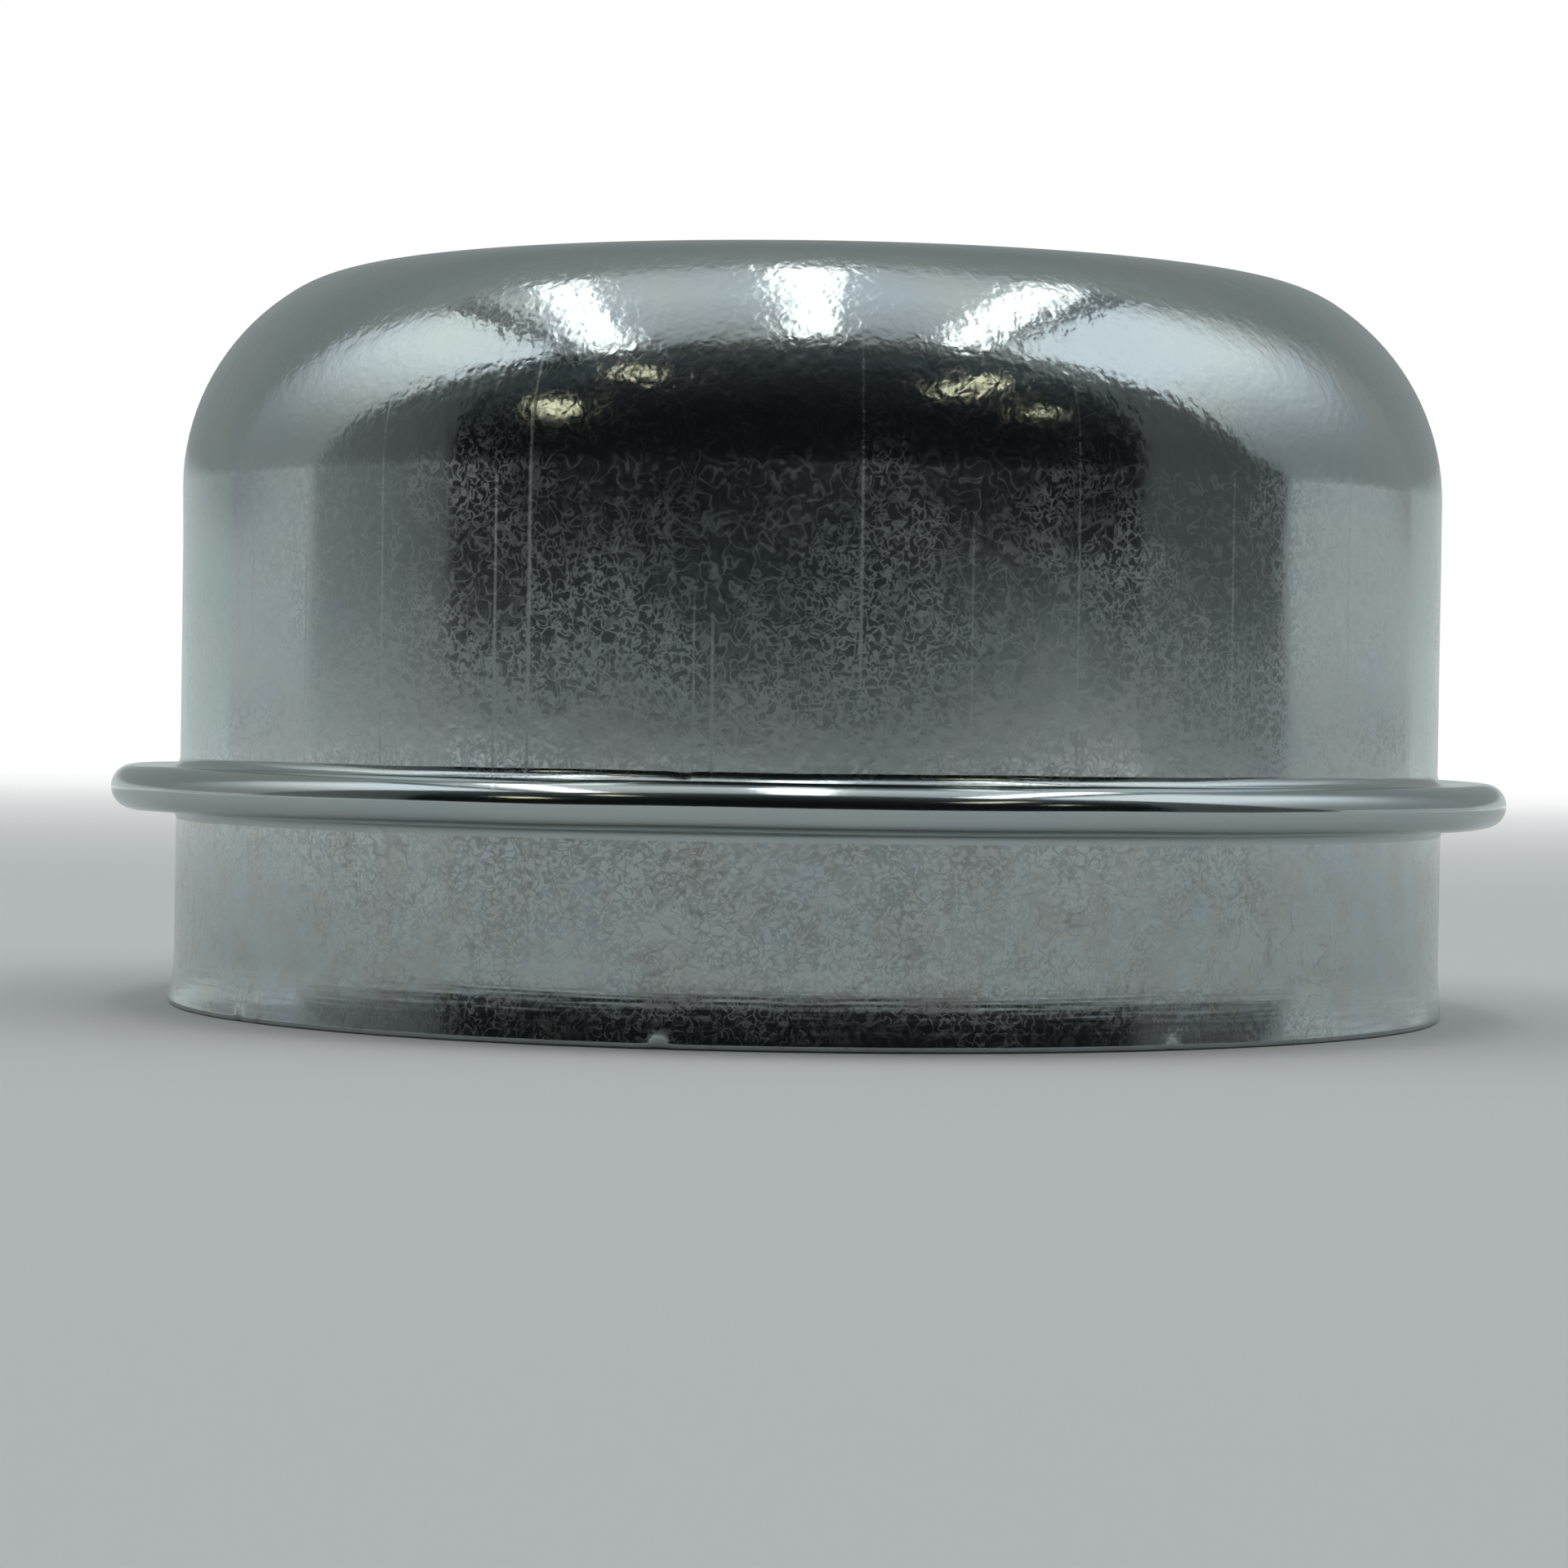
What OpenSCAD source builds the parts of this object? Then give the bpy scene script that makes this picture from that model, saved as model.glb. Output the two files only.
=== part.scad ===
// Dust cap for a trailer wheel hub, drawn from one disc of zinc plated steel sheet.
// The skirt below the bead is driven into the hub, the bead stops on the hub's face,
// and the deep shell above it covers the bearing nut.
// The cap stands on its open rim, with its axis along Z and the closed end up.

/* [Sheet] */
// Thickness of the steel sheet
sheet = 0.75; // [0.5:0.05:1]

/* [Drive-in skirt] */
// Outer diameter of the land that grips the hub, just under the bead
land_d = 50.4; // [40:0.1:80]
// Length of that land
land_h = 4.2; // [2:0.1:4.8]
// Depth of the slight waist below the land
waist_in = 0.1; // [0.05:0.05:0.5]
// Lean of the flared rim out from the waist
flare_out = 0.1; // [0.05:0.05:0.5]
// Height of the flare at the rim
flare_h = 1.5; // [0.8:0.1:2.2]
// Rounding of the rim's outer edge
rim_edge_r = 0.2; // [0.05:0.05:0.4]

/* [Folded bead] */
// Height of the bead's underside above the rim
seat_z = 7.65; // [7.2:0.05:12]
// Reach of the bead out from the land
bead_out = 2.55; // [2:0.05:5]
// Space between the two folded layers inside the bead's nose
nose_gap = 0.22; // [0.12:0.02:0.5]
// Space between those layers beside the shell, where the fold is pressed flat
neck_gap = 0.1; // [0.04:0.02:0.5]
// Radius of the fold between the skirt and the bead
under_r = 0.4; // [0.2:0.05:0.8]
// Radius of the fold between the bead and the shell
shoulder_r = 0.45; // [0.2:0.05:0.8]

/* [Shell] */
// Overall height
cap_h = 29; // [27:0.5:45]
// Inset of the shell's wall from the land
shell_in = 0.15; // [0:0.05:2]
// Radius of the corner where it leaves the straight wall
corner_low_r = 9.1; // [8:0.1:12]
// Angle over which that radius runs, in degrees
corner_low_a = 57; // [30:1:75]
// Radius of the corner where it meets the closed end
corner_top_r = 5.1; // [3:0.1:7.5]
// Radius of the slight dome of the closed end
dome_r = 1000; // [300:50:2000]

/* [Hidden] */
$fn = 180;
// Largest distance of a chord from its arc in the section
chord_error = 0.005;

land_r = land_d / 2;
waist_r = land_r - waist_in;
bead_r = land_r + bead_out;
shell_r = land_r - shell_in;

// The flare is one arc, upright at the waist
flare_r = (flare_h * flare_h + flare_out * flare_out) / (2 * flare_out);
flare_c = [waist_r + flare_r, flare_h];

// The rim is trimmed flat, and its outer edge is an arc that runs into the flare
edge_rise = flare_h - rim_edge_r;
edge_across = sqrt(pow(flare_r + rim_edge_r, 2) - pow(edge_rise, 2));
edge_c = [flare_c[0] - edge_across, rim_edge_r];
edge_a = atan2(edge_rise, edge_across);
rim_inside = [flare_c[0] - sqrt(pow(flare_r + sheet, 2) - pow(flare_h, 2)), 0];

// The step from the waist out to the land is two equal arcs, upright at both ends
land_z0 = seat_z - under_r - land_h;
step_h = land_z0 - flare_h;
step_a = 2 * atan(waist_in / step_h);
step_r = (step_h * step_h + waist_in * waist_in) / (4 * waist_in);

// The bead is the sheet folded back on itself round the nose, and its upper layer
// is the straight line that touches both the nose and the fold beside the shell
nose_r = sheet + nose_gap / 2;
nose_c = [bead_r - nose_r, seat_z + nose_r];
shoulder_c = [shell_r + shoulder_r, seat_z + 2 * sheet + neck_gap + shoulder_r];
nose_to_shoulder = shoulder_c - nose_c;
bead_fall = atan2(nose_to_shoulder[1], nose_to_shoulder[0])
    + asin((nose_r + shoulder_r) / norm(nose_to_shoulder)) - 180;

// The corner runs through two arcs and into the dome without a break
corner_step = corner_low_r - corner_top_r;
dome_c = [0, cap_h - dome_r];
corner_top_x = shell_r - corner_low_r + corner_step * cos(corner_low_a);
dome_a = asin(corner_top_x / (dome_r - corner_top_r));
corner_top_c = [corner_top_x, dome_c[1] + (dome_r - corner_top_r) * cos(dome_a)];
corner_low_c = corner_top_c - corner_step * [cos(corner_low_a), sin(corner_low_a)];

// Each bend of the sheet from the rim to the centre of the closed end: its centre, the
// radius of the sheet's outer face, 1 or -1 where the metal lies outside or inside that
// radius, and the angles at its two ends. The straight stretches join one bend to the next.
bends = [
    [flare_c, flare_r, 1, 180 + edge_a, 180],
    [[waist_r + step_r, flare_h], step_r, 1, 180, 180 - step_a],
    [[land_r - step_r, land_z0], step_r, -1, -step_a, 0],
    [[land_r + under_r, seat_z - under_r], under_r, 1, 180, 90],
    [nose_c, nose_r, -1, -90, 90 + bead_fall],
    [shoulder_c, shoulder_r, 1, 270 + bead_fall, 180],
    [corner_low_c, corner_low_r, -1, 0, corner_low_a],
    [corner_top_c, corner_top_r, -1, corner_low_a, 90 - dome_a],
    [dome_c, dome_r, -1, 90 - dome_a, 90]
];

function steps(r, a0, a1) = max(3, ceil(abs(a1 - a0) / (2 * acos(1 - chord_error / r))));

// The points of an arc about c from angle a0 to angle a1
function arc(c, r, a0, a1) =
    let (n = steps(r, a0, a1))
    [for (i = [0:n]) let (a = a0 + (a1 - a0) * i / n) c + r * [cos(a), sin(a)]];

// One face of the sheet, at a depth of 0 or of the sheet's thickness below its outer face
function face(depth) =
    [for (b = bends) each arc(b[0], b[1] + b[2] * depth, b[3], b[4])];

function reversed(list) = [for (i = [len(list) - 1:-1:0]) list[i]];

module dust_cap() {
    rim_edge = arc(edge_c, rim_edge_r, -90, edge_a);
    color([0.72, 0.74, 0.76])
    rotate_extrude()
    polygon(concat([rim_inside], rim_edge, face(0), reversed(face(sheet))));
}

dust_cap();
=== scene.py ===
"""Looks of the dust cap: a drawn cap of zinc plated sheet steel, standing on its open rim.

The cap is one revolved sheet, built from the same named sizes as the part's source, with the small
faults of a pressed part. Round it stands a light tent with an open, dark front.
"""

import math

import bpy
import numpy as np
from mathutils import Matrix

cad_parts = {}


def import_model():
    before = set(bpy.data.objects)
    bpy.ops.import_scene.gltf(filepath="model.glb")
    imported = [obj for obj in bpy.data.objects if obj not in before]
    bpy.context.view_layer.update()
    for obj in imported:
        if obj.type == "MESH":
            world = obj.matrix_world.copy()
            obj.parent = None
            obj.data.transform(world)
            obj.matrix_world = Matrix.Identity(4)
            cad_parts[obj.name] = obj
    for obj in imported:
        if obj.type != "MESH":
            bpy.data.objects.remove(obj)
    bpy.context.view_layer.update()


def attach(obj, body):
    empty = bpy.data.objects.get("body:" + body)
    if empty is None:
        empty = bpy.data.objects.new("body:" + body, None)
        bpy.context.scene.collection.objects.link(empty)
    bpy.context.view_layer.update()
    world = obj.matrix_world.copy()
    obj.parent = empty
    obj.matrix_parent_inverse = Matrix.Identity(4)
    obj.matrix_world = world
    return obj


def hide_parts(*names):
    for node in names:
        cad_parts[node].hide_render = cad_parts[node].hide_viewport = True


MM = 0.001

# Sizes of the sheet, in millimetres, as in the part's source. Only the flare at the rim is fuller:
# the source holds it back, so that the rim still enters the hub.
SHEET = 0.75
LAND_R = 25.2
LAND_H = 4.2
WAIST_IN = 0.005
FLARE_OUT = 0.2
FLARE_H = 2.3
RIM_EDGE_R = 0.2
SEAT_Z = 7.65
BEAD_OUT = 2.55
NOSE_GAP = 0.22
NECK_GAP = 0.1
UNDER_R = 0.4
SHOULDER_R = 0.45
CAP_H = 29.0
SHELL_IN = 0.15
CORNER_LOW_R = 9.1
CORNER_LOW_A = 57.0
CORNER_TOP_R = 5.1
DOME_R = 1000.0
WALL_R = LAND_R - SHELL_IN

# Fineness of the mesh
COLUMNS = 512
INSIDE_COARSER = 2


def unit(angle):
    a = math.radians(angle)
    return np.array([math.cos(a), math.sin(a)])


def bends():
    """Each bend of the sheet: centre, radius of the outer face, side of the metal, two angles, steps."""
    waist_r = LAND_R - WAIST_IN
    flare_r = (FLARE_H**2 + FLARE_OUT**2) / (2 * FLARE_OUT)
    flare_c = np.array([waist_r + flare_r, FLARE_H])
    edge_rise = FLARE_H - RIM_EDGE_R
    edge_across = math.sqrt((flare_r + RIM_EDGE_R) ** 2 - edge_rise**2)
    edge_a = math.degrees(math.atan2(edge_rise, edge_across))
    rim_edge = (np.array([flare_c[0] - edge_across, RIM_EDGE_R]), edge_a)
    rim_inside = flare_c[0] - math.sqrt((flare_r + SHEET) ** 2 - FLARE_H**2)
    land_z0 = SEAT_Z - UNDER_R - LAND_H
    step_h = land_z0 - FLARE_H
    step_a = math.degrees(2 * math.atan(WAIST_IN / step_h))
    step_r = (step_h**2 + WAIST_IN**2) / (4 * WAIST_IN)
    nose_r = SHEET + NOSE_GAP / 2
    nose_c = np.array([LAND_R + BEAD_OUT - nose_r, SEAT_Z + nose_r])
    shoulder_c = np.array([WALL_R + SHOULDER_R, SEAT_Z + 2 * SHEET + NECK_GAP + SHOULDER_R])
    lean = shoulder_c - nose_c
    fall = math.atan2(lean[1], lean[0]) + math.asin((nose_r + SHOULDER_R) / np.hypot(*lean))
    fall = math.degrees(fall) - 180
    corner_step = CORNER_LOW_R - CORNER_TOP_R
    dome_c = np.array([0.0, CAP_H - DOME_R])
    top_x = WALL_R - CORNER_LOW_R + corner_step * math.cos(math.radians(CORNER_LOW_A))
    dome_a = math.asin(top_x / (DOME_R - CORNER_TOP_R))
    top_c = np.array([top_x, dome_c[1] + (DOME_R - CORNER_TOP_R) * math.cos(dome_a)])
    low_c = top_c - corner_step * unit(CORNER_LOW_A)
    dome_a = math.degrees(dome_a)
    listed = [
        (flare_c, flare_r, 1, 180 + edge_a, 180, 8),
        (np.array([waist_r + step_r, FLARE_H]), step_r, 1, 180, 180 - step_a, 4),
        (np.array([LAND_R - step_r, land_z0]), step_r, -1, -step_a, 0, 4),
        (np.array([LAND_R + UNDER_R, SEAT_Z - UNDER_R]), UNDER_R, 1, 180, 90, 7),
        (nose_c, nose_r, -1, -90, 90 + fall, 22),
        (shoulder_c, SHOULDER_R, 1, 270 + fall, 180, 8),
        (low_c, CORNER_LOW_R, -1, 0, CORNER_LOW_A, 18),
        (top_c, CORNER_TOP_R, -1, CORNER_LOW_A, 90 - dome_a, 14),
        (dome_c, DOME_R, -1, 90 - dome_a, 90, 6),
    ]
    return listed, rim_edge, rim_inside


def face_rows(listed, depth, coarser):
    """Radius, height and normal along one face of the sheet, from the rim to the closed end's centre."""
    rows = []
    for centre, radius, metal, a0, a1, steps in listed:
        count = max(2, round(steps / coarser))
        for i in range(count + 1):
            ray = unit(a0 + (a1 - a0) * i / count)
            point = centre + (radius + metal * depth) * ray
            rows.append((*point, *(-metal * ray)))
    return rows


def fill_stretches(rows, longest):
    """The rows without doubles, and with more of them along the straight stretches of the wall."""
    out = [rows[0]]
    for row in rows[1:]:
        last = out[-1]
        gap = math.hypot(row[0] - last[0], row[1] - last[1])
        if gap < 1e-6:
            continue
        parts = math.ceil(gap / longest) if last[0] > 20 else 1
        for i in range(1, parts):
            out.append(tuple(np.array(last) + (np.array(row) - np.array(last)) * i / parts))
        out.append(row)
    return out


def section():
    """The whole section, from the inside centre down to the rim and up to the outside centre."""
    listed, (edge_c, edge_a), rim_inside = bends()
    outside = fill_stretches(face_rows(listed, 0, 1), 1.3)
    inside = fill_stretches(face_rows(listed, SHEET, INSIDE_COARSER), 4.0)
    inside = [(r, z, -nr, -nz) for r, z, nr, nz in reversed(inside)]
    cut = [(rim_inside + 0.05, 0.0, 0.0, -1.0), (rim_inside + 0.3, 0.0, 0.0, -1.0)]
    edge = []
    for i in range(6):
        ray = unit(-90 + (edge_a + 90) * i / 6)
        edge.append((*(edge_c + RIM_EDGE_R * ray), *ray))
    rows = np.array(inside + cut + edge + outside)
    is_inside = np.arange(len(rows)) < len(inside)
    return rows, is_inside


def ripple(angle, orders, seed):
    """A smooth random wave round the cap, mostly between -1 and 1."""
    rng = np.random.default_rng(seed)
    total = np.zeros_like(angle)
    for order in orders:
        total += rng.normal() * np.cos(order * angle + rng.uniform(0, 2 * math.pi))
    return total / math.sqrt(len(orders))


def near(angle, degrees, width):
    """1 at one direction round the cap, with 0 at the camera's side, and falling to 0 on both sides of it."""
    away = (np.degrees(angle) - degrees + 180) % 360 - 180
    return np.exp(-((away / width) ** 2))


def band(values, low, high, soft):
    """1 between two values, with soft ends."""
    return np.clip((values - low) / soft + 1, 0, 1) * np.clip((high - values) / soft + 1, 0, 1)


def faults(r, z, angle):
    """How far the sheet stands off its perfect form, outwards and upwards, in millimetres."""
    skirt = band(z, -1, 2.5, 4.5) * (r > 20)
    out = 0.03 * skirt * ripple(angle, [2, 3, 5], 3)
    rim = np.clip(1 - z / 1.2, 0, 1) ** 2 * (r > 20)
    burr = 0.09 * near(angle, -95, 55) - 0.05 * near(angle, 90, 50) + 0.06 * near(angle, 86, 3)
    burr = burr + 0.02 * ripple(angle, [5, 9, 14, 23, 37], 5)
    out = out + rim * burr
    dents = near(angle, -11.6, 0.9) + 0.8 * near(angle, -56, 0.8) + 0.5 * near(angle, 31, 0.7)
    out = out - 0.16 * dents * np.clip(1 - z / 0.5, 0, 1) * (r > 20)
    bead = np.clip((r - 25.5) / 1.2, 0, 1)
    up = 0.014 * bead * ripple(angle, [3, 7, 13, 21, 34], 12)
    shoulder = band(r, 25.0, 25.4, 0.2) * band(z, 9.25, 9.6, 0.25)
    up = up + 0.02 * shoulder * ripple(angle, [4, 11, 19, 31], 21)
    up = up - 0.07 * shoulder * near(angle, -10, 0.7)
    corner = band(z, 21, 27, 3) * (r > 12)
    out = out + 0.02 * corner * ripple(angle, [3, 5, 8, 13], 8)
    return out, up


def facing(points):
    """Normals of a grid of points that closes round the cap, from the differences between neighbours."""
    around = np.roll(points, -1, axis=1) - np.roll(points, 1, axis=1)
    along = np.gradient(points, axis=0)
    normal = np.cross(around, along)
    return normal / np.maximum(np.linalg.norm(normal, axis=-1, keepdims=True), 1e-12)


def grid_points(r, z, angle):
    return np.stack([r * np.sin(angle), -r * np.cos(angle), z], -1)


def cap_grid():
    """Points and normals of the cap, in rows along the section and columns round the axis."""
    rows, is_inside = section()
    angle = np.linspace(0, 2 * math.pi, COLUMNS, endpoint=False)[None, :]
    r = rows[:, 0:1] + 0 * angle
    z = rows[:, 1:2] + 0 * angle
    turn = angle + 0 * r
    out, up = faults(r, z, turn)
    perfect = grid_points(r, z, turn)
    real = grid_points(r + out, np.maximum(z + up, 0), turn)
    normal = grid_points(rows[:, 2:3] + 0 * turn, rows[:, 3:4] + 0 * turn, turn)
    normal = normal + facing(real) - facing(perfect)
    normal = normal / np.linalg.norm(normal, axis=-1, keepdims=True)
    return real * MM, normal, is_inside


def build_cap():
    """The cap as one mesh: a grid of quads, closed at both centres by the first and last rows."""
    points, normal, is_inside = cap_grid()
    keep = np.hypot(points[:, 0, 0], points[:, 0, 1]) > 0.0001
    centres = [(0, 0, points[0, 0, 2]), (0, 0, points[-1, 0, 2])]
    points, normal, is_inside = points[keep], normal[keep], is_inside[keep]
    count = len(points)
    index = np.arange(count * COLUMNS).reshape(count, COLUMNS)
    beside = np.roll(index, -1, axis=1)
    quads = np.stack([index[:-1], beside[:-1], beside[1:], index[1:]], -1).reshape(-1, 4)
    first, last = count * COLUMNS, count * COLUMNS + 1
    faces = quads.tolist()
    faces += [(first, int(b), int(a)) for a, b in zip(index[0], beside[0])]
    faces += [(int(a), int(b), last) for a, b in zip(index[-1], beside[-1])]
    mesh = bpy.data.meshes.new("cap_sheet")
    mesh.from_pydata(points.reshape(-1, 3).tolist() + centres, [], faces)
    slots = np.repeat(np.where(is_inside[:-1], 1, 0), COLUMNS).tolist()
    slots += [1] * COLUMNS + [0] * COLUMNS
    mesh.materials.append(zinc_outside())
    mesh.materials.append(zinc_inside())
    mesh.polygons.foreach_set("material_index", slots)
    mesh.polygons.foreach_set("use_smooth", [True] * len(mesh.polygons))
    normals = normal.reshape(-1, 3).tolist() + [(0, 0, -1), (0, 0, 1)]
    mesh.normals_split_custom_set_from_vertices(normals)
    cap = bpy.data.objects.new("dust_cap_sheet", mesh)
    bpy.context.scene.collection.objects.link(cap)
    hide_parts("dust_cap")
    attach(cap, "root")
    return cap


class Graph:
    """Short ways to add nodes to a material or a world."""

    def __init__(self, tree):
        self.tree = tree
        tree.nodes.clear()

    def add(self, kind, inputs=None, **settings):
        node = self.tree.nodes.new("ShaderNode" + kind)
        for name, value in settings.items():
            setattr(node, name, value)
        for name, value in (inputs or {}).items():
            self.put(node.inputs[name], value)
        return node

    def put(self, socket, value):
        if isinstance(value, bpy.types.NodeSocket):
            self.tree.links.new(value, socket)
        else:
            socket.default_value = value

    def math(self, operation, *values, clamp=False):
        node = self.add("Math", operation=operation, use_clamp=clamp)
        for i, value in enumerate(values):
            self.put(node.inputs[i], value)
        return node.outputs[0]

    def mul(self, *values):
        total = values[0]
        for value in values[1:]:
            total = self.math("MULTIPLY", total, value)
        return total

    def plus(self, *values):
        total = values[0]
        for value in values[1:]:
            total = self.math("ADD", total, value)
        return total

    def rise(self, value, low, high, start=0.0, end=1.0):
        """From start to end as the value goes from low to high, with a soft curve."""
        inputs = {"Value": value, "From Min": low, "From Max": high, "To Min": start, "To Max": end}
        return self.add("MapRange", inputs, interpolation_type="SMOOTHSTEP").outputs["Result"]

    def between(self, value, low, high, soft):
        return self.mul(self.rise(value, low - soft, low), self.rise(value, high, high + soft, 1.0, 0.0))

    def noise(self, vector, size, detail=2.0, rough=0.5, bend=0.0):
        """Noise whose spots are about that many metres across."""
        inputs = {"Vector": vector, "Scale": 1 / size, "Detail": detail, "Roughness": rough}
        inputs["Distortion"] = bend
        return self.add("TexNoise", inputs).outputs["Fac"]

    def blend(self, amount, a, b):
        """A number between a and b."""
        node = self.add("Mix", data_type="FLOAT")
        self.put(node.inputs[0], amount)
        self.put(node.inputs[2], a)
        self.put(node.inputs[3], b)
        return node.outputs[0]

    def tint(self, amount, a, b):
        """A colour between a and b."""
        node = self.add("Mix", data_type="RGBA")
        self.put(node.inputs[0], amount)
        self.put(node.inputs[6], a if isinstance(a, bpy.types.NodeSocket) else (*a, 1))
        self.put(node.inputs[7], b if isinstance(b, bpy.types.NodeSocket) else (*b, 1))
        return node.outputs[2]


def new_material(name):
    material = bpy.data.materials.new(name)
    material.use_nodes = True
    return material, Graph(material.node_tree)


def places(g):
    """The point, its X, Y and Z, its distance from the axis, and its way round as an arc on the wall."""
    point = g.add("TexCoord").outputs["Object"]
    split = g.add("SeparateXYZ", {"Vector": point})
    x, y, z = split.outputs
    radius = g.math("SQRT", g.plus(g.mul(x, x), g.mul(y, y)))
    turn = g.math("ARCTAN2", x, g.mul(y, -1.0))
    return point, x, y, z, radius, turn


def stretched(g, x, y, z, radius, squeeze):
    """Coordinates for grain that runs up the wall: round the cap as usual, and slow along the height."""
    round_x = g.mul(g.math("DIVIDE", x, radius), WALL_R * MM)
    round_y = g.mul(g.math("DIVIDE", y, radius), WALL_R * MM)
    node = g.add("CombineXYZ", {"X": round_x, "Y": round_y, "Z": g.mul(z, squeeze)})
    return node.outputs[0]


def stretched_round(g, turn, radius, z):
    """Coordinates for grain that runs round the cap."""
    around = g.mul(g.math("ABSOLUTE", turn), 1.2 * MM)
    return g.add("CombineXYZ", {"X": around, "Y": g.mul(radius, 0.2), "Z": z}).outputs[0]


def worms(g, point, size, seed, width):
    """Thin crooked flecks: the places where a bent noise passes its middle value."""
    moved = g.add("VectorMath", {0: point, 1: (seed, 0.4 * seed, -seed)}, operation="ADD").outputs[0]
    field = g.noise(moved, size, 1.0, 0.5, 0.7)
    off = g.math("ABSOLUTE", g.math("SUBTRACT", field, 0.5))
    return g.rise(off, 0.0, width, 1.0, 0.0)


# Draw lines up the wall: degrees round from the front, lowest and highest point and width in mm, strength
DRAW_LINES = [
    (-55.8, 10.0, 19.0, 0.09, 0.7),
    (-47.2, 10.0, 16.5, 0.10, 0.6),
    (-37.9, 10.2, 22.0, 0.09, 0.8),
    (-26.4, 10.0, 19.0, 0.10, 0.8),
    (-23.3, 10.0, 24.5, 0.12, 1.0),
    (-9.3, 10.0, 15.0, 0.08, 0.5),
    (-7.8, 10.0, 14.0, 0.10, 0.8),
    (4.0, 13.5, 24.0, 0.10, 0.8),
    (13.0, 10.0, 18.0, 0.08, 0.4),
    (22.0, 11.0, 23.0, 0.08, 0.5),
    (37.0, 10.0, 20.0, 0.09, 0.6),
    (52.0, 12.0, 22.0, 0.08, 0.6),
    (71.0, 10.0, 19.0, 0.09, 0.6),
    (103.0, 10.0, 23.0, 0.1, 0.8),
    (131.0, 11.0, 19.0, 0.09, 0.7),
    (158.0, 10.0, 22.0, 0.1, 0.8),
    (-166.0, 10.0, 20.0, 0.1, 0.7),
    (-139.0, 12.0, 23.0, 0.09, 0.8),
    (-112.0, 10.0, 18.0, 0.1, 0.7),
    (-84.0, 10.0, 21.0, 0.09, 0.6),
]


def draw_lines(g, turn, z):
    """The single lines that the drawing die left up the wall."""
    total = 0.0
    for degrees, low, high, width, strength in DRAW_LINES:
        away = g.math("ABSOLUTE", g.math("SUBTRACT", turn, math.radians(degrees)))
        line = g.rise(away, 0.0, width / WALL_R, strength, 0.0)
        line = g.mul(line, g.between(z, low * MM, high * MM, 1.5 * MM))
        total = g.math("MAXIMUM", total, line)
    return total


def zinc_outside():
    """Bright zinc: a mirror with crooked dull flecks, orange peel in the corner and draw lines."""
    material, g = new_material("zinc_outside")
    point, x, y, z, radius, turn = places(g)
    skirt = g.rise(z, 7.2 * MM, 7.6 * MM, 1.0, 0.0)
    bead = g.rise(radius, 25.3 * MM, 25.8 * MM)
    corner = g.rise(z, 19.5 * MM, 23.5 * MM)
    wall = g.math("SUBTRACT", 1.0, g.math("MAXIMUM", g.math("MAXIMUM", skirt, bead), corner))

    grain = stretched(g, x, y, z, radius, 0.05)
    streaks = g.noise(grain, 0.5 * MM, 2.0, 0.6)
    lines = draw_lines(g, turn, z)

    fleck_area = g.noise(point, 5.0 * MM, 2.0, 0.6)
    low_wall = g.rise(z, 12 * MM, 20 * MM, 0.12, -0.05)
    dull = g.rise(g.plus(fleck_area, low_wall), 0.38, 0.72)
    fine = worms(g, point, 0.36 * MM, 0.013, 0.09)
    coarse = worms(g, point, 0.62 * MM, 0.031, 0.06)
    flecks = g.math("MAXIMUM", g.mul(fine, g.rise(dull, 0.0, 1.0, 0.15, 1.0)), g.mul(coarse, 0.5))
    flecks = g.mul(flecks, g.rise(bead, 0.0, 1.0, 1.0, 0.25))
    smear = g.mul(g.rise(streaks, 0.5, 0.75), wall)
    rough = g.blend(flecks, 0.10, 0.25)
    rough = g.plus(rough, g.mul(smear, 0.02), g.mul(lines, 0.14), g.mul(skirt, 0.03))
    rough = g.math("MINIMUM", rough, 0.5)

    peel = g.noise(point, 0.42 * MM, 1.5, 0.5, 0.3)
    swell = g.noise(point, 2.2 * MM, 1.0, 0.5)
    drag = g.noise(grain, 0.8 * MM, 1.0, 0.5)
    peel_height = g.plus(1.6e-6, g.mul(corner, 14e-6), g.mul(skirt, 1.5e-6))
    rolled = g.noise(stretched_round(g, turn, radius, z), 0.22 * MM, 1.0, 0.5)
    near_rim = g.rise(z, 1.6 * MM, 2.4 * MM, 1.0, 0.0)
    height = g.plus(
        g.mul(peel, peel_height),
        g.mul(swell, g.plus(3e-6, g.mul(corner, 22e-6))),
        g.mul(drag, wall, 2e-6),
        g.mul(lines, -2e-6),
        g.mul(rolled, near_rim, 7e-6),
    )
    bump = g.add("Bump", {"Strength": 1.0, "Distance": 1.0, "Height": height})

    cloud = g.noise(point, 6.0 * MM, 3.0, 0.6)
    colour = g.tint(g.rise(cloud, 0.35, 0.65), (0.455, 0.515, 0.535), (0.485, 0.530, 0.525))
    stain = g.mul(skirt, g.rise(g.noise(point, 1.6 * MM, 3.0, 0.65), 0.42, 0.62))
    colour = g.tint(g.mul(stain, 0.55), colour, (0.43, 0.445, 0.415))
    scuff = g.mul(skirt, worms(g, point, 0.9 * MM, 0.05, 0.035), g.rise(cloud, 0.45, 0.6))
    colour = g.tint(g.mul(scuff, 0.5), colour, (0.28, 0.29, 0.29))
    surface = g.add("BsdfPrincipled", {"Base Color": colour, "Metallic": 1.0, "Roughness": rough})
    g.put(surface.inputs["Normal"], bump.outputs["Normal"])
    output = g.add("OutputMaterial")
    g.put(output.inputs["Surface"], surface.outputs[0])
    return material


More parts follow.
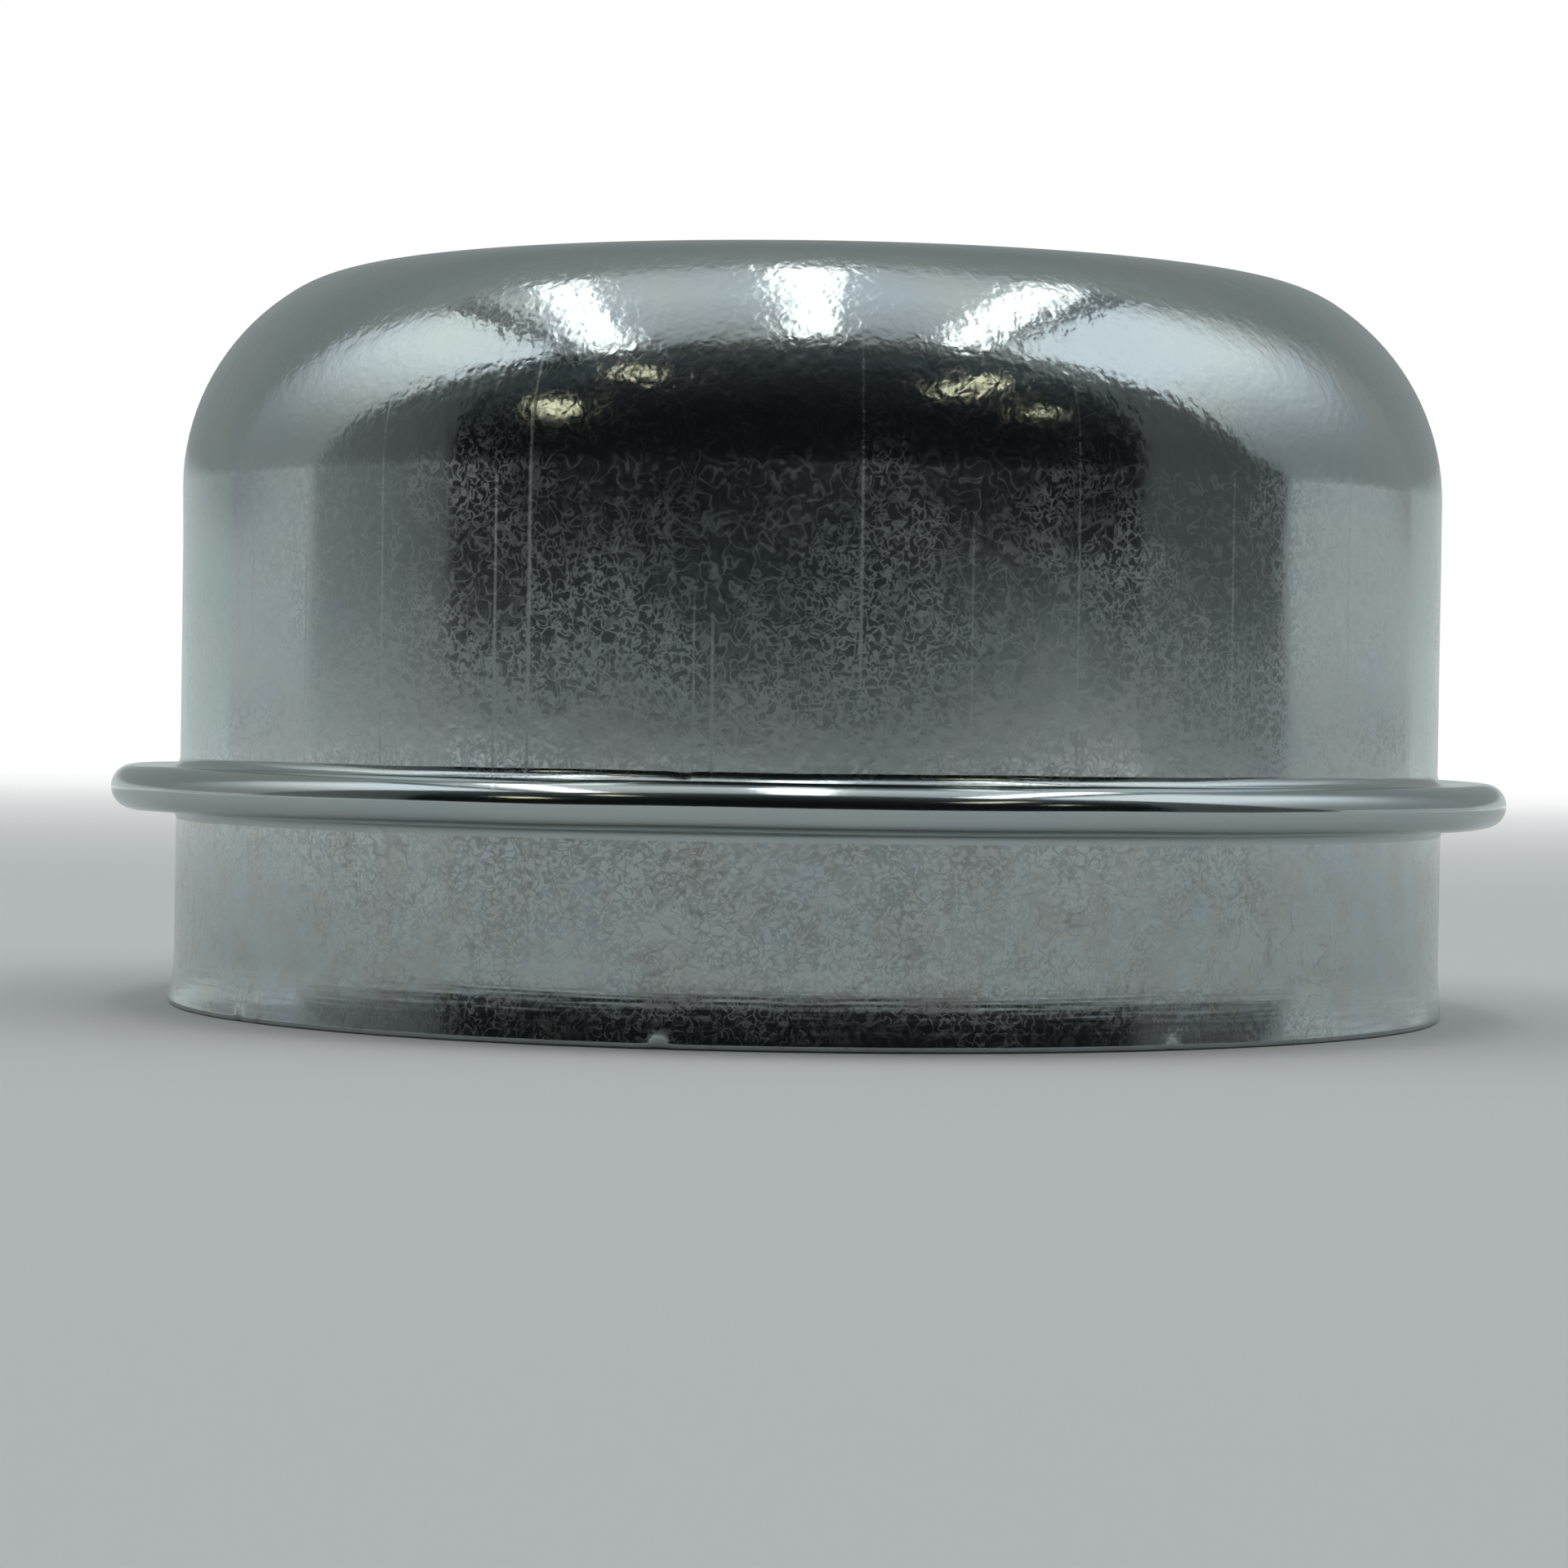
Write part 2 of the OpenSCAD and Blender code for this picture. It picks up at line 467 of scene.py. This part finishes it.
def zinc_inside():
    """The inside: the same plating, duller and a little greasy."""
    material, g = new_material("zinc_inside")
    point, x, y, z, radius, turn = places(g)
    cloud = g.noise(point, 4.0 * MM, 4.0, 0.6)
    grain = g.noise(stretched(g, x, y, z, radius, 0.08), 0.6 * MM, 3.0, 0.6)
    rough = g.plus(0.22, g.mul(g.rise(cloud, 0.4, 0.7), 0.16), g.mul(grain, 0.08))
    colour = g.tint(cloud, (0.40, 0.43, 0.44), (0.50, 0.51, 0.49))
    height = g.plus(g.mul(g.noise(point, 0.5 * MM), 8e-6), g.mul(grain, 5e-6))
    bump = g.add("Bump", {"Strength": 1.0, "Distance": 1.0, "Height": height})
    surface = g.add("BsdfPrincipled", {"Base Color": colour, "Metallic": 1.0, "Roughness": rough})
    g.put(surface.inputs["Normal"], bump.outputs["Normal"])
    output = g.add("OutputMaterial")
    g.put(output.inputs["Surface"], surface.outputs[0])
    return material


# The light tent, in metres: its height above the cap sets the scale of the rest
TENT = 0.80
FLOOR_GAP = 0.02


def tent_point(x, y, z):
    """A point given in tent heights, measured from just above the floor."""
    return (x * TENT, y * TENT, z * TENT + FLOOR_GAP)


def steps_of(g, place, ladder):
    """A value that runs through the ladder's pairs of place and value, straight between them."""
    level = ladder[0][1]
    for (low, _), (high, value) in zip(ladder, ladder[1:]):
        amount = g.math("DIVIDE", g.math("SUBTRACT", place, low), high - low, clamp=True)
        level = g.blend(amount, level, value)
    return level


def glow(name, colour, upward, sideways=None, axis=1):
    """Light given off by a card: its strength over the height, times a share over X (0) or Y (1)."""
    material, g = new_material(name)
    point = g.add("TexCoord").outputs["Object"]
    split = g.add("SeparateXYZ", {"Vector": point}).outputs
    height = g.math("DIVIDE", g.math("SUBTRACT", split[2], FLOOR_GAP), TENT)
    level = steps_of(g, height, upward)
    if sideways:
        share = steps_of(g, g.math("DIVIDE", split[axis], TENT), sideways)
        base = upward[0][1] if len(upward) == 1 else 0.0
        level = g.mul(level, share) if not base else g.mul(share, base)
    light = g.add("Emission", {"Color": (*colour, 1), "Strength": level})
    g.put(g.add("OutputMaterial").inputs["Surface"], light.outputs[0])
    return material


def card(name, corners, material):
    """A flat card of the tent, seen only in reflections and by its light."""
    mesh = bpy.data.meshes.new(name)
    mesh.from_pydata([tent_point(*corner) for corner in corners], [], [list(range(len(corners)))])
    mesh.materials.append(material)
    obj = bpy.data.objects.new(name, mesh)
    bpy.context.scene.collection.objects.link(obj)
    obj.visible_camera = False
    return obj


def side_light(name, reach):
    """A side wall's light: low and even towards the back, bright high up towards the front."""
    material, g = new_material(name)
    point = g.add("TexCoord").outputs["Object"]
    split = g.add("SeparateXYZ", {"Vector": point}).outputs
    height = g.math("DIVIDE", g.math("SUBTRACT", split[2], FLOOR_GAP), TENT * reach)
    ahead = g.math("DIVIDE", split[1], -TENT * reach)
    base = steps_of(g, height, [(-0.016, 0.40), (-0.008, 0.62), (0.038, 0.60), (0.055, 0.34), (0.8, 0.40)])
    bright = g.mul(g.rise(height, 0.15, 0.95), g.rise(ahead, -0.80, -0.20), 0.85)
    light = g.add("Emission", {"Color": (0.93, 0.985, 1.0, 1), "Strength": g.plus(base, bright)})
    g.put(g.add("OutputMaterial").inputs["Surface"], light.outputs[0])
    return material


def wall(x, edge):
    """A side wall: its front edge as points of Y and height, and its slanted back edge."""
    back = [(0.58, -0.024), (0.38, 1.05)]
    return [(x, y, z) for y, z in [back[0], *edge, back[1]]]


def build_tent():
    left_edge = [(0.13, -0.024), (0.07, 0.08), (0.04, 0.15), (-0.09, 0.39), (-0.21, 0.58)]
    left_edge += [(-0.33, 0.78), (-0.44, 1.0), (-0.44, 1.05)]
    right_edge = [(0.02, -0.024), (-0.02, 0.05), (-0.09, 0.12), (-0.14, 0.25), (-0.20, 0.40)]
    right_edge += [(-0.29, 0.57), (-0.36, 0.72), (-0.44, 0.9), (-0.44, 1.05)]
    card("tent_left", wall(-0.78, left_edge), side_light("tent_left", 0.78))
    card("tent_right", wall(0.57, right_edge), side_light("tent_right", 0.57))
    back = [(-0.78, 0.58, -0.024), (0.57, 0.58, -0.024), (0.57, 0.38, 1.05), (-0.78, 0.38, 1.05)]
    back_levels = [(0.0, 0.66), (0.03, 0.58), (0.055, 0.33), (0.5, 0.31), (1.0, 0.40)]
    card("tent_back", back, glow("tent_back", (0.90, 1.0, 0.98), back_levels))
    top = [(-0.62, 0.38, 1.0), (0.47, 0.38, 1.0), (0.47, -0.50, 1.0), (-0.66, -0.50, 1.0)]
    fade = [(-0.50, 0.40), (-0.35, 0.60), (0.0, 0.85), (0.25, 0.75), (0.38, 0.45)]
    card("tent_top", top, glow("tent_top", (0.93, 0.98, 1.0), [(0, 1.0)], fade))
    fringe = [(-0.95, -0.48, 1.02), (0.75, -0.48, 1.02), (0.75, -0.9, 1.3), (-0.95, -0.9, 1.3)]
    card("tent_fringe", fringe, glow("tent_fringe", (0.95, 0.98, 1.0), [(1.02, 0.28), (1.12, 0.12), (1.3, 0.06)]))
    seam = [(-0.9, 0.42, 1.04), (0.7, 0.42, 1.04), (0.7, -0.5, 1.04), (-0.9, -0.5, 1.04)]
    card("tent_frame", seam, glow("tent_frame", (0.9, 0.97, 1.0), [(0, 0.22)]))
    strips = [
        ((-0.46, -0.35), (-0.64, -0.50)),
        ((-0.07, 0.04), (-0.08, 0.05)),
        ((0.33, 0.43), (0.35, 0.47)),
    ]
    for i, ((b0, b1), (f0, f1)) in enumerate(strips):
        corners = [(b0, 0.33, 0.985), (b1, 0.33, 0.985), (f1, -0.50, 0.985), (f0, -0.50, 0.985)]
        name = f"tent_strip_{i}"
        card(name, corners, glow(name, (1.0, 1.0, 0.98), [(0, 2.6)]))


def build_front():
    """The open front of the tent: flaps beside it, and the dark room with a few small lamps."""
    cool = (0.93, 0.99, 1.0)
    left = [(-0.82, 0.16, -0.024), (-0.82, -0.38, -0.024), (-0.82, -0.38, 0.5)]
    left += [(-0.82, -0.7, 1.1), (-0.82, 0.16, 1.1)]
    left_up = [(-0.01, 0.36), (0.03, 0.22), (0.06, 0.17), (0.4, 0.16), (1.0, 0.22)]
    left_side = [(-0.60, 0.10), (-0.35, 0.55), (-0.05, 1.0), (0.16, 1.3)]
    card("flap_left", left, glow("flap_left", cool, left_up, left_side))
    right = [(0.61, 0.06, -0.024), (0.61, -0.38, -0.024), (0.61, -0.38, 0.4)]
    right += [(0.61, -0.6, 1.1), (0.61, 0.06, 1.1)]
    right_up = [(-0.01, 0.19), (0.02, 0.09), (0.15, 0.09), (0.5, 0.13), (1.0, 0.30)]
    card("flap_right", right, glow("flap_right", cool, right_up))
    room = [(-6, -2.2, -0.02), (5, -2.2, -0.02), (5, -2.2, 5), (-6, -2.2, 5)]
    room_up = [(-0.01, 0.05), (0.04, 0.03), (0.12, 0.009), (1.1, 0.010), (2.2, 0.03), (3.3, 0.08)]
    card("room", room, glow("room", (0.75, 0.9, 1.0), room_up))
    cloth = [(-6, -0.62, -0.023), (5, -0.62, -0.023), (5, -2.2, -0.023), (-6, -2.2, -0.023)]
    card("cloth", cloth, glow("cloth", (0.8, 0.9, 1.0), [(0, 0.008)]))
    bench = [(0.4, -2.1, -0.015), (4.2, -2.1, -0.015), (4.2, -2.1, 0.11), (0.4, -2.1, 0.11)]
    bench_up = [(-0.01, 0.32), (0.03, 0.22), (0.07, 0.09), (0.11, 0.01)]
    bench_side = [(0.4, 0.15), (1.2, 0.55), (2.0, 1.0), (3.0, 0.8), (4.2, 0.5)]
    card("bench", bench, glow("bench", cool, bench_up, bench_side, 0))
    lamps = [
        ("lamp_a", -0.77, 1.17, 0.06, 0.13),
        ("lamp_b", -1.12, 0.72, 0.12, 0.10),
        ("lamp_c", 0.68, 1.00, 0.07, 0.18),
        ("lamp_d", 0.92, 0.68, 0.05, 0.05),
    ]
    for name, x, z, half_x, half_z in lamps:
        lean = math.copysign(0.8, x) * half_z
        corners = [
            (x - half_x - lean, -1.0, z - half_z),
            (x + half_x - lean, -1.0, z - half_z),
            (x + half_x + lean, -1.0, z + half_z),
            (x - half_x + lean, -1.0, z + half_z),
        ]
        corners = [(2 * a, 2 * b, 2 * c) for a, b, c in corners]
        card(name, corners, glow(name, (1.0, 0.92, 0.62), [(0, 1.6)]))


def rays_that_see(g):
    """1 for camera, glossy and transmission rays."""
    path = g.add("LightPath").outputs
    seen = g.math("MAXIMUM", path["Is Camera Ray"], path["Is Glossy Ray"])
    return g.math("MAXIMUM", seen, path["Is Transmission Ray"])


def build_floor():
    """A pale floor round the cap, which turns into the plain white background further out."""
    material, g = new_material("floor")
    point = g.add("TexCoord").outputs["Object"]
    away = g.add("VectorMath", {0: point}, operation="LENGTH").outputs["Value"]
    paint = g.add("BsdfDiffuse", {"Color": (0.80, 0.815, 0.82, 1)})
    white = g.add("Emission", {"Color": (1, 1, 1, 1), "Strength": 1.0})
    amount = g.mul(g.rise(away, 0.10, 0.60), rays_that_see(g))
    mixed = g.add("MixShader", {0: amount, 1: paint.outputs[0], 2: white.outputs[0]})
    g.put(g.add("OutputMaterial").inputs["Surface"], mixed.outputs[0])
    mesh = bpy.data.meshes.new("floor")
    reach = 12.0
    corners = [(-reach, -reach, 0), (reach, -reach, 0), (reach, reach, 0), (-reach, reach, 0)]
    mesh.from_pydata(corners, [], [[0, 1, 2, 3]])
    mesh.materials.append(material)
    obj = bpy.data.objects.new("floor", mesh)
    bpy.context.scene.collection.objects.link(obj)


def build_world():
    """White behind everything that sees it, and a plain soft light for the rest."""
    world = bpy.data.worlds.new("world")
    world.use_nodes = True
    g = Graph(world.node_tree)
    strength = g.blend(rays_that_see(g), 0.7, 1.0)
    light = g.add("Background", {"Color": (1, 1, 1, 1), "Strength": strength})
    g.put(g.add("OutputWorld").inputs["Surface"], light.outputs[0])
    bpy.context.scene.world = world


# The camera of the photograph: distance from the axis, height, lens and aim
CAMERA_AWAY = 0.1807
CAMERA_HEIGHT = 0.01186
CAMERA_LENS = 103.1
AIM_DOWN = 0.94
AIM_LEFT = 0.31
ROLL = 0.86


def build_camera():
    data = bpy.data.cameras.new("camera")
    data.lens = CAMERA_LENS
    data.sensor_width = 36
    data.sensor_fit = "HORIZONTAL"
    data.clip_start = 0.005
    camera = bpy.data.objects.new("camera", data)
    bpy.context.scene.collection.objects.link(camera)
    turn = Matrix.Rotation(math.radians(AIM_LEFT), 4, "Z")
    tilt = Matrix.Rotation(math.radians(90 - AIM_DOWN), 4, "X")
    roll = Matrix.Rotation(math.radians(ROLL), 4, "Z")
    place = Matrix.Translation((0, -CAMERA_AWAY, CAMERA_HEIGHT))
    camera.matrix_world = place @ turn @ tilt @ roll
    bpy.context.scene.camera = camera


def main():
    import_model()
    bpy.context.scene.view_settings.view_transform = "Standard"
    build_camera()
    build_world()
    build_floor()
    build_tent()
    build_front()
    build_cap()


main()
